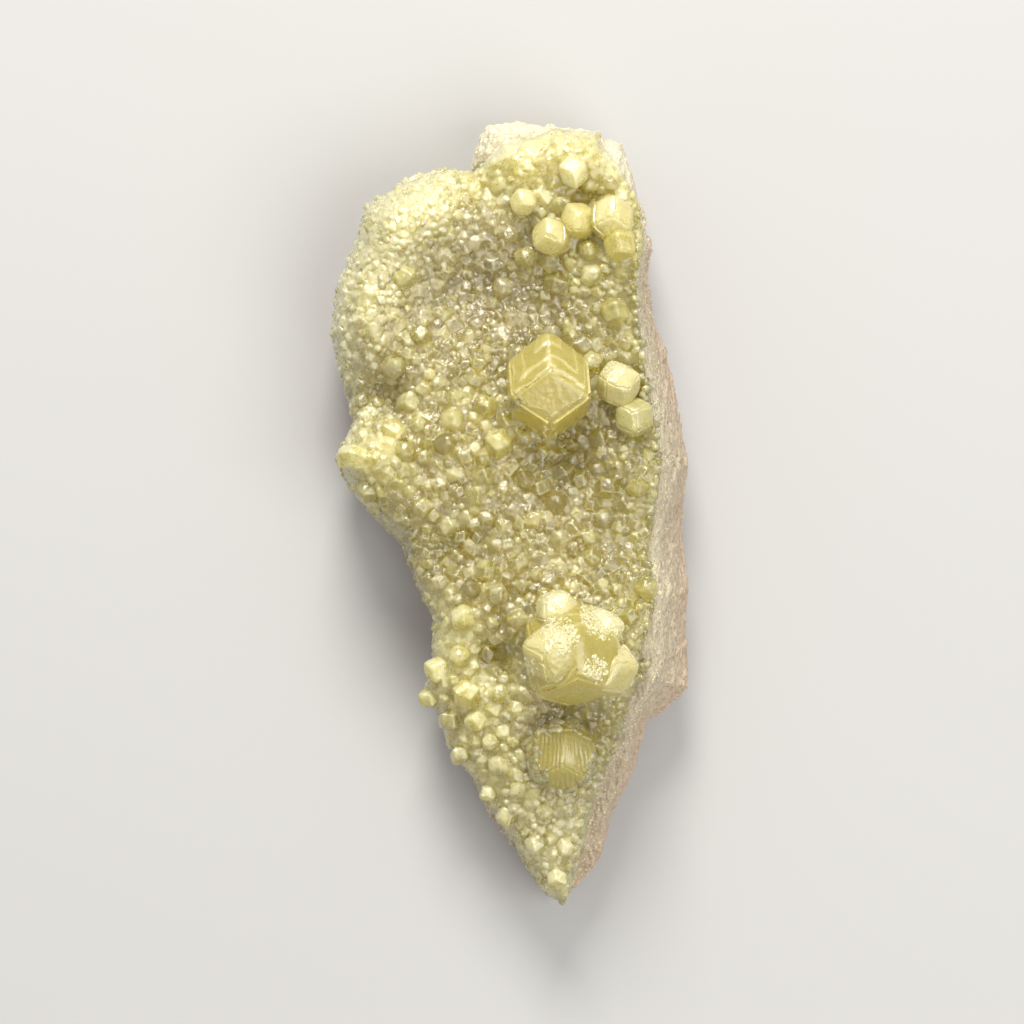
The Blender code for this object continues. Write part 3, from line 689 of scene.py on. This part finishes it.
def crystals_mesh(places, forms):
    """One mesh of many small crystals, each with its own tint."""
    rng = np.random.default_rng(SEED + len(places))
    xy = np.array([place[0][:2] for place in places])
    tints = blended_spots(xy, TINT_SPOTS, USUAL_TINT)
    for number, place in enumerate(places):
        if place[2]:
            tints[number] = place[2]
    tints += rng.normal(0.0, 1.0, tints.shape) * TINT_VARIES
    parts = []
    total = 0
    for (centre, radius, _), tint in zip(places, np.clip(tints, 0, 1)):
        choice = forms[division(radius)]
        points, triangles, along_edge = choice[rng.integers(len(choice))]
        turn = np.array(Euler(rng.uniform(0, math.tau, 3)).to_matrix())
        stretch = rng.uniform(1 - STRETCH, 1 + STRETCH, 3)
        # The alpha marks triangles along edges for whitening: partly wear, partly painted highlight.
        colour = np.column_stack((np.tile(tint, (len(triangles), 1)), along_edge))
        parts.append(((points * stretch) @ turn.T * radius + centre, triangles + total, colour))
        total += len(points)
    return tinted_mesh(*(np.concatenate(arrays) for arrays in zip(*parts)))


def grown_together(places, forms, bases):
    """One closed solid of many small crystals and the bases that they grow on.

    The crystals are sorted into layers in which no two touch, so that each layer is clean.
    """
    layers = []
    for centre, radius, tint in sorted(places, key=lambda place: -place[1]):
        for crowd, layer in layers:
            if crowd.free(centre, radius, APART):
                break
        else:
            crowd, layer = Crowd(), []
            layers.append((crowd, layer))
        crowd.add(centre, radius)
        layer.append((centre, radius, tint))
    meshes = bases + [crystals_mesh(layer, forms) for _, layer in layers]
    mesh = modified(combined(meshes[0], meshes[1:], "UNION"), "TRIANGULATE")
    mesh = modified(mesh, "SMOOTH", factor=0.5, iterations=1)
    if len(mesh.polygons) > MOST_TRIANGLES:
        mesh = modified(mesh, "DECIMATE", ratio=MOST_TRIANGLES / len(mesh.polygons))
    mesh.shade_smooth()
    mesh.set_sharp_from_angle(angle=math.radians(SMALL_SHARP))
    return modified(mesh, "WEIGHTED_NORMAL", keep_sharp=True)


def modified(mesh, kind, **settings):
    """The mesh after one modifier."""
    obj = link("modified", mesh)
    modifier = obj.modifiers.new(kind, kind)
    for key, value in settings.items():
        setattr(modifier, key, value)
    graph = bpy.context.evaluated_depsgraph_get()
    made = bpy.data.meshes.new_from_object(obj.evaluated_get(graph))
    bpy.data.objects.remove(obj)
    return made


def plug(node, inputs):
    """Links or sets the inputs of a node."""
    for key, value in inputs.items():
        if isinstance(value, bpy.types.NodeSocket):
            node.id_data.links.new(value, node.inputs[key])
        else:
            node.inputs[key].default_value = value


def noded(name):
    """A new material, its nodes and a function that adds one."""
    material = bpy.data.materials.new(name)
    material.use_nodes = True
    nodes = material.node_tree.nodes

    def add(kind, inputs=None, **settings):
        node = nodes.new(kind)
        for key, value in settings.items():
            setattr(node, key, value)
        plug(node, inputs or {})
        return node

    return material, nodes, add


def ramp(add, value, stops):
    """A colour ramp of (position, colour) stops."""
    node = add("ShaderNodeValToRGB", {"Fac": value})
    elements = node.color_ramp.elements
    while len(elements) > 1:
        elements.remove(elements[-1])
    elements[0].position, elements[0].color = stops[0][0], (*stops[0][1], 1.0)
    for position, colour in stops[1:]:
        elements.new(position).color = (*colour, 1.0)
    return node.outputs["Color"]


def mixed(add, factor, first, second, blend="MIX"):
    """Two colours mixed. The second may be plain red, green and blue."""
    if isinstance(second, tuple):
        second = (*second, 1.0)
    node = add("ShaderNodeMix", data_type="RGBA", blend_type=blend)
    plug(node, {0: factor, 6: first, 7: second})
    return node.outputs[2]


def fractal(add, place, scale, detail, roughness):
    """The value of a fractal noise."""
    inputs = {"Vector": place, "Scale": scale, "Detail": detail, "Roughness": roughness}
    return add("ShaderNodeTexNoise", inputs).outputs["Fac"]


def scattered(add, place, scale):
    """The distance to the nearest of scattered points."""
    return add("ShaderNodeTexVoronoi", {"Vector": place, "Scale": scale}).outputs["Distance"]


def remap(add, value, low, high, new_low, new_high):
    """The value mapped from one range to another, and kept within it."""
    inputs = {"Value": value, "From Min": low, "From Max": high, "To Min": new_low, "To Max": new_high}
    return add("ShaderNodeMapRange", inputs).outputs["Result"]


def computed(add, operation, *values):
    """The result of one arithmetic operation."""
    return add("ShaderNodeMath", dict(enumerate(values)), operation=operation).outputs[0]


def bumped(add, height, strength, distance):
    """A normal disturbed by a height."""
    inputs = {"Height": height, "Strength": strength, "Distance": distance}
    return add("ShaderNodeBump", inputs).outputs["Normal"]


def grossular_material(name, clearness, density, glow, patchy, rim, coat):
    """Pale yellow translucent garnet. Each face's tint says how yellow, green and clouded it is, and
    how
    much it is whitened: on crystals' edges partly as wear and partly as painted highlight. Faces that
    look toward the key light are painted whiter.
    """
    material, nodes, add = noded(name)
    geometry = add("ShaderNodeNewGeometry").outputs
    place = geometry["Position"]
    tint = add("ShaderNodeAttribute", attribute_name="tint").outputs
    yellow, green, milky = add("ShaderNodeSeparateColor", {"Color": tint["Color"]}).outputs
    cloud = fractal(add, place, 520.0, 6.0, 0.62)
    colour = ramp(add, yellow, (
        (0, (0.88, 0.8, 0.5)),
        (0.4, (0.9, 0.81, 0.36)),
        (0.75, (0.93, 0.82, 0.24)),
        (1, (0.93, 0.79, 0.14)),
    ))
    colour = mixed(add, green, colour, (0.89, 1.0, 0.88), "MULTIPLY")

    # Clouded faces are frosted. Faces that look up the plate, toward the key light, are whiter still,
    # which is painted highlight. Marked edges are whitened too, partly frosted wear and partly painted
    # highlight.
    looks = add("ShaderNodeSeparateXYZ", {"Vector": geometry["Normal"]}).outputs["Y"]
    upper = remap(add, looks, -0.5, 0.6, 0.25, 0.60)
    veil = remap(add, cloud, 0.0, 1.0, 0.5 - patchy, 0.5 + patchy)
    cover = computed(add, "MULTIPLY_ADD", upper, milky, veil)
    white = remap(add, cover, 0.62, 1.0, 0.0, 0.75)
    frost_and_highlight = computed(add, "MAXIMUM", white, computed(add, "MULTIPLY", tint["Alpha"], rim))
    whole = remap(add, milky, 0.0, 1.0, clearness, clearness - 0.25)

    grain = computed(add, "ADD", scattered(add, place, 1400.0), fractal(add, place, 1000.0, 4.0, 0.65))
    glitter = fractal(add, place, 2600.0, 3.0, 0.6)
    plug(nodes["Principled BSDF"], {
        "Base Color": mixed(add, frost_and_highlight, colour, FROST_AND_HIGHLIGHT),
        "Roughness": remap(add, cloud, 0.3, 0.75, ROUGHNESS, ROUGHNESS + 0.25),
        "Transmission Weight": remap(add, frost_and_highlight, 0.0, 0.75, whole, 0.40),
        "IOR": 1.73,
        "Normal": bumped(add, grain, 0.9 * patchy, 0.0003),
        "Coat Normal": bumped(add, glitter, 0.8, 0.0002),
        "Coat Weight": coat,
        "Coat Roughness": 0.16 - 0.1 * coat,
        "Subsurface Weight": glow,
        "Subsurface Radius": (1.0, 0.92, 0.70),
        "Subsurface Scale": 0.0024,
    })
    absorbing = add("ShaderNodeVolumeAbsorption", {"Color": ABSORPTION, "Density": density})
    plug(nodes["Material Output"], {"Volume": absorbing.outputs[0]})
    return material


def calcite_material():
    """White granular calcite, pinkish at the rim, with a fine upright grain."""
    material, nodes, add = noded("calcite_grain")
    place = add("ShaderNodeNewGeometry").outputs["Position"]
    where = add("ShaderNodeSeparateXYZ", {"Vector": place}).outputs
    ragged = remap(add, fractal(add, place, 90.0, 4.0, 0.6), 0.0, 1.0, -0.006, 0.006)
    level = computed(add, "ADD", where["Z"], ragged)
    colour = ramp(add, remap(add, level, 0.0, 0.020, 0.0, 1.0), (
        (0.2, (0.55, 0.4, 0.3)),
        (0.5, (0.5, 0.41, 0.3)),
        (0.72, (0.49, 0.43, 0.31)),
        (0.95, (0.6, 0.55, 0.41)),
    ))
    end = remap(add, where["Y"], 0.038, 0.050, 0.0, 1.0)
    colour = mixed(add, end, colour, (0.78, 0.74, 0.57))
    upright = {"Vector": place, "Scale": (1.0, 0.55, 0.8), "Rotation": (0, 0, 0.15)}
    stretched = add("ShaderNodeMapping", upright).outputs[0]
    streaks = fractal(add, stretched, 1100.0, 5.0, 0.65)
    shade = ramp(add, streaks, (
        (0.32, (0.62, 0.55, 0.46)),
        (0.5, (0.95, 0.93, 0.9)),
        (0.7, (1, 1, 1)),
    ))
    sugar = ramp(add, fractal(add, place, 2600.0, 3.0, 0.7), (
        (0.36, (0.66, 0.58, 0.5)),
        (0.48, (0.96, 0.94, 0.92)),
        (0.6, (1, 1, 1)),
        (0.68, (1.25, 1.22, 1.16)),
    ))
    colour = mixed(add, 0.5, colour, shade, "MULTIPLY")
    colour = mixed(add, 0.8, colour, sugar, "MULTIPLY")
    grain = computed(add, "ADD", scattered(add, stretched, 1300.0), streaks)
    plug(nodes["Principled BSDF"], {
        "Base Color": colour,
        "Roughness": remap(add, streaks, 0.0, 1.0, 0.75, 0.35),
        "IOR": 1.6,
        "Normal": bumped(add, grain, 0.8, 0.0005),
        "Subsurface Weight": 0.35,
        "Subsurface Radius": (1.0, 0.75, 0.55),
        "Subsurface Scale": 0.0007,
    })
    return material


def base_crust(cell, depth, beads):
    """The druse's crust without crystals, closed, this deep below them and with beads this high."""
    edge = [tuple(p) for p in outline_moved_in(wall_width)]
    block = mesh_from(loft([(CRUST_FOOT, edge), (HEADROOM, edge)]), "crust")

    def uneven(xy):
        places = [Vector((x, y, 0.0)) for x, y in xy]
        broad = [noise.fractal(place * UNEVEN_SCALE, 0.7, 2.0, 4) for place in places]
        height = druse_height(xy) - depth + UNEVEN_HEIGHT * np.array(broad)
        if beads:
            near = [noise.voronoi(place / BEAD_SPACING)[0][0] for place in places]
            height = height + beads * (1 - np.minimum(np.array(near) / BEAD_REACH, 1.0) ** 2)
        return height

    sky = block_from_surface(uneven, CUTTER_TOP, cell)
    under = block_from_surface(lambda xy: floor_height(xy) + GAP, -HEADROOM, UNDER_CELL)
    return combined(block, [sky, under], "DIFFERENCE")


def tinted_crust(base):
    """Stores the broad tint on the crust's faces, white on the bare spots."""
    xy = np.array([polygon.center[:2] for polygon in base.polygons])
    tints = np.column_stack((blended_spots(xy, TINT_SPOTS, USUAL_TINT), np.zeros(len(xy))))
    tints[:, 2] *= CRUST_CLOUDED
    for x, y, reach in BARE_SPOTS:
        tints[np.hypot(xy[:, 0] - x, xy[:, 1] - y) < reach] = BARE_TINT
    store_tints(base, tints)


def build_druse(plate, large, material, sugar):
    places = crystal_places(base_crust(GROWTH_CELL, GROWTH_DEPTH, 0.0), plate, large)
    rng = random.Random(SEED)
    forms = [small_forms(shares, rng) for _, shares in DIVISIONS]
    crust = base_crust(BEAD_CELL, CRUST_DEPTH, BEAD_HEIGHT)
    tinted_crust(crust)
    parts = (
        ("druse", (None, PALE), [crust], material),
        ("druse_sugar", (WHITE,), [], sugar),
        ("druse_strays", (STRAY_TINT,), [], sugar),
    )
    for name, tints, bases, look in parts:
        chosen = [place for place in places if place[2] in tints]
        mesh = grown_together(chosen, forms, bases)
        piece(name, mesh, ["grossular_druse"], look)


def open_sides(corners, turn, rng):
    """Which sides of a face its outer growth layer stops short of: mostly those down the plate."""
    middle = sum(corners, Vector()) / 4
    found = []
    for first, second in zip(corners, corners[1:] + corners[:1]):
        down = -(turn @ ((first + second) / 2 - middle).normalized()).y
        found.append(down > 0.25 or rng.random() < 0.15)
    return found


def growth_steps(facing, radius, rng):
    """Steps of a face as shares of its width, height and softness: one ledge, then soft terraces."""
    steps = [(rng.uniform(*LEDGE_AT), rng.uniform(*LEDGE_RISE), LEDGE)]
    if facing > STEPPED_FACING and radius > STEPPED_FROM:
        for at, rise, softness in TERRACES:
            steps.append((rng.uniform(*at), rng.uniform(*rise), softness))
    return steps


def grid_key(number, corners, i, j, cells):
    """A name for a point of a face's grid, the same on both faces where they meet."""
    a, b, c, d = corners
    sides = ((j == 0, a, b, i), (i == cells, b, c, j), (j == cells, d, c, i), (i == 0, a, d, j))
    for on_side, first, last, step in sides:
        if on_side and step in (0, cells):
            return (first if step == 0 else last,)
        if on_side:
            return (first, last, step) if first < last else (last, first, cells - step)
    return ("inside", number, i, j)


def growth_form(radius, turn, tint, crispness, rng):
    """A large garnet whose faces are fine grids with growth terraces and rounded edges."""
    bm = garnet_form()
    normals = np.array([face.normal for face in bm.faces])
    cells = min(MOST_CELLS, round(radius / GRID_SPACING))
    fine = bmesh.new()
    border = fine.verts.layers.float.new("border")
    inner = fine.verts.layers.float.new("inner")
    owner = fine.verts.layers.int.new("owner")
    seed = Vector([rng.uniform(-50, 50) for _ in range(3)])
    steps = []
    made = {}
    bm.verts.index_update()
    for number, face in enumerate(bm.faces):
        corners = [v.co.copy() for v in face.verts]
        sides = open_sides(corners, turn, rng)
        steps.append(growth_steps((turn @ face.normal).y, radius, rng))
        grid = {}
        for i, j in itertools.product(range(cells + 1), repeat=2):
            u, v = i / cells, j / cells
            key = grid_key(number, [v.index for v in face.verts], i, j, cells)
            if key not in made:
                away = (v, 1 - u, 1 - v, u)
                vert = made[key] = fine.verts.new(between(corners, u, v))
                vert[border] = min(away)
                vert[inner] = min([s for s, is_open in zip(away, sides) if is_open], default=1.0)
                vert[owner] = number
            grid[i, j] = made[key]
        for i, j in itertools.product(range(cells), repeat=2):
            fine.faces.new((grid[i, j], grid[i + 1, j], grid[i + 1, j + 1], grid[i, j + 1]))
    bm.free()
    bmesh.ops.recalc_face_normals(fine, faces=fine.faces)
    points = np.array([v.co[:] for v in fine.verts])
    distances = np.full(len(normals), FACE_DISTANCE)
    moved, slopes = rounded_body(points, normals, distances, crispness)
    wear_and_highlight = {}
    height = min(1.0, crispness / CRISP + 0.25)
    for vert, place, slope in zip(fine.verts, moved, slopes):
        vert.co = place
        wobble = noise.noise(vert.co * WOBBLE[0] + seed) * WOBBLE[1]
        jagged = facets(vert.co + seed, JAGS[0]) * JAGS[1]
        lift = 0.0
        # Whiteness of face borders and ledges, for the tint's alpha: partly wear, partly painted
        # highlight.
        edge = EDGE_WEAR_AND_HIGHLIGHT * height * (1 - min(vert[border] / EDGE_WIDTH, 1.0))
        for at, rise, softness in steps[vert[owner]]:
            across = (vert[inner] + wobble + (jagged if softness == LEDGE else 0.0) - at) / softness
            lift += rise * height * float(smooth(across + 0.5))
            edge = max(edge, height * (1 - abs(across - 0.3) / 0.9) * LEDGE / softness)
        lift += BROAD_RELIEF[1] * noise.noise(vert.co * BROAD_RELIEF[0] - seed)
        lift += FINE_RELIEF[1] * noise.fractal(vert.co * FINE_RELIEF[0] + seed, 0.8, 2.0, 3)
        vert.co += Vector(slope) * lift
        wear_and_highlight[vert] = edge
    layer = fine.faces.layers.float_color.new("tint")
    for face in fine.faces:
        face.smooth = True
        face[layer] = (*tint, max(wear_and_highlight[v] for v in face.verts))
    return fine


def striate(bm):
    """Fine parallel ridges across the upper side of a crystal, fanning out a little."""
    bm.normal_update()
    middle = sum((v.co for v in bm.verts), Vector()) / len(bm.verts)
    for vert in bm.verts:
        gone = vert.co - middle
        along = gone.x * (1 + RIDGE_FAN * gone.y)
        phase = (along / RIDGE_SPACING + 0.25 * noise.noise(vert.co * 0.6)) % 1.0
        patches = noise.noise(vert.co * 0.35) * 3 + 1.2
        strength = float(smooth(vert.normal.z * 2)) * float(smooth(patches))
        vert.co += vert.normal * RIDGE_HEIGHT * strength * (abs(2 * phase - 1) - 0.5)


def large_meshes():
    """The mesh of each node of large crystals, in millimetres."""
    rng = random.Random(SEED + 7)
    meshes = {}
    for name, crystals in PLACED.items():
        grown = []
        for centre, radius, turn, tint, crispness in crystals:
            bm = growth_form(radius, turn, tint, crispness, rng)
            bm.transform(Matrix.LocRotScale(centre, turn, Vector((radius,) * 3)))
            if name == "crystal_half_buried":
                striate(bm)
            bmesh.ops.triangulate(bm, faces=bm.faces)
            grown.append(mesh_from(bm, name))
        joined = combined(grown[0], grown[1:], "UNION") if grown[1:] else grown[0]
        joined.set_sharp_from_angle(angle=math.radians(LARGE_SHARP))
        meshes[name] = joined
    return meshes


def one_mesh(meshes):
    """A loose copy of several meshes in one."""
    bm = bmesh.new()
    for mesh in meshes:
        bm.from_mesh(mesh)
    return mesh_from(bm, "together")


def dense_outline(spacing):
    """Points along the outline at even distances, each with its wall and inward direction."""
    moved = outline_moved_in(lambda point: 1.0)
    corners = [(*p, *(m - Vector(p[:2]))) for p, m in zip(OUTLINE, moved)]
    found = []
    for corner, after in zip(corners, corners[1:] + corners[:1]):
        count = max(1, round(math.hypot(after[0] - corner[0], after[1] - corner[1]) / spacing))
        for n in range(count):
            t = n / count
            found.append([p * (1 - t) + q * t for p, q in zip(corner, after)])
    return found


def wall_relief(place):
    """How far the wall stands back at a place: long upright facets, grains and ragged noise."""
    long = Vector((place.x, place.y * 0.40, place.z * 0.7))
    relief = LONG_FACETS[0] * facets(long, LONG_FACETS[1])
    relief += SHORT_FACETS[0] * facets(long * 1.3 + Vector((7, 3, 1)), SHORT_FACETS[1])
    return relief + RAGGED[0] * noise.fractal(place * RAGGED[1], 0.8, 2.0, 5)


def plate_mesh():
    """The calcite plate: the uneven side, cut by the surface under the druse."""
    outline = dense_outline(WALL_SPACING)
    heights = [0.0, 0.25] + [0.5 + WALL_STEP * n for n in range(WALL_STEPS)] + [HEADROOM]
    rings = []
    for z in heights:
        length, share = (np.interp(z, [r[0] for r in RINGS], [r[k] for r in RINGS]) for k in (1, 2))
        lean = side_lean(length, share)
        row = []
        for point in outline:
            inward = Vector(point[4:])
            spot = Vector(point[:2]) + inward * lean(point)
            strength = 0.3 if z < 0.3 else 1.0
            row.append(spot + inward * wall_relief(Vector((*spot, z))) * strength)
        rings.append((z, row))
    side = mesh_from(loft(rings), "side")
    above = block_from_surface(floor_height, CUTTER_TOP, PLATE_CELL)
    mesh = combined(side, [above], "DIFFERENCE")
    mesh.shade_smooth()
    mesh.set_sharp_from_angle(angle=math.radians(PLATE_SHARP))
    return mesh


def area_light(name, place, aim, size, power, colour):
    data = bpy.data.lights.new(name, "AREA")
    data.shape = "DISK"
    data.size = size
    data.energy = power
    data.color = colour
    obj = link(name, data)
    obj.location = place
    obj.rotation_euler = (Vector(aim) - Vector(place)).to_track_quat("-Z", "Y").to_euler()


def build_studio():
    """A pale floor, soft light mostly from beyond the broad end, and the camera above."""
    bm = bmesh.new()
    bmesh.ops.create_grid(bm, x_segments=1, y_segments=1, size=2.0)
    floor = link("floor", mesh_from(bm, "floor"))
    material, nodes, _ = noded("floor")
    plug(nodes["Principled BSDF"], {"Base Color": (0.44, 0.44, 0.435, 1.0), "Roughness": 0.7})
    floor.data.materials.append(material)

    area_light("key", (-0.05, 0.55, 0.48), (0, 0.01, 0.01), 0.30, 6.0, (1.0, 0.97, 0.91))
    area_light("fill", (0.35, -0.20, 0.65), (0, 0, 0.01), 0.60, 3.4, (1.0, 0.98, 0.95))
    world = bpy.data.worlds.new("studio")
    world.use_nodes = True
    sky = world.node_tree.nodes["Background"]
    plug(sky, {"Color": (1.0, 0.98, 0.95, 1.0), "Strength": 0.66})
    bpy.context.scene.world = world

    # The photograph is 1024 pixels wide at 0.13865 mm a pixel, and its middle is pixel 511.3.
    millimetres_a_pixel, middle_pixel, lens, sensor = 0.13865, 511.3, 200.0, 36.0
    width = 1024 * millimetres_a_pixel
    away = width * lens / sensor
    offset = (512.0 - middle_pixel) * millimetres_a_pixel
    data = bpy.data.cameras.new("camera")
    data.lens = lens
    data.sensor_width = sensor
    data.clip_end = 10.0
    camera = link("camera", data)
    camera.location = SHIFT + Vector((offset, -offset, away + 14.0)) * MM
    bpy.context.scene.camera = camera


bpy.context.scene.view_settings.view_transform = "Standard"

# The tilts of facets come from a noise that the clock would seed.
noise.seed_set(SEED)

build_studio()
plate = plate_mesh()
large = large_meshes()
small_look, sugar_look, large_look = [grossular_material(name, *LOOKS[name]) for name in LOOKS]
build_druse(plate, one_mesh(large.values()), small_look, sugar_look)
for name, mesh in large.items():
    piece(f"{name}_grown", mesh, [name], large_look)
piece("calcite_plate", plate, ["calcite_matrix"], calcite_material())
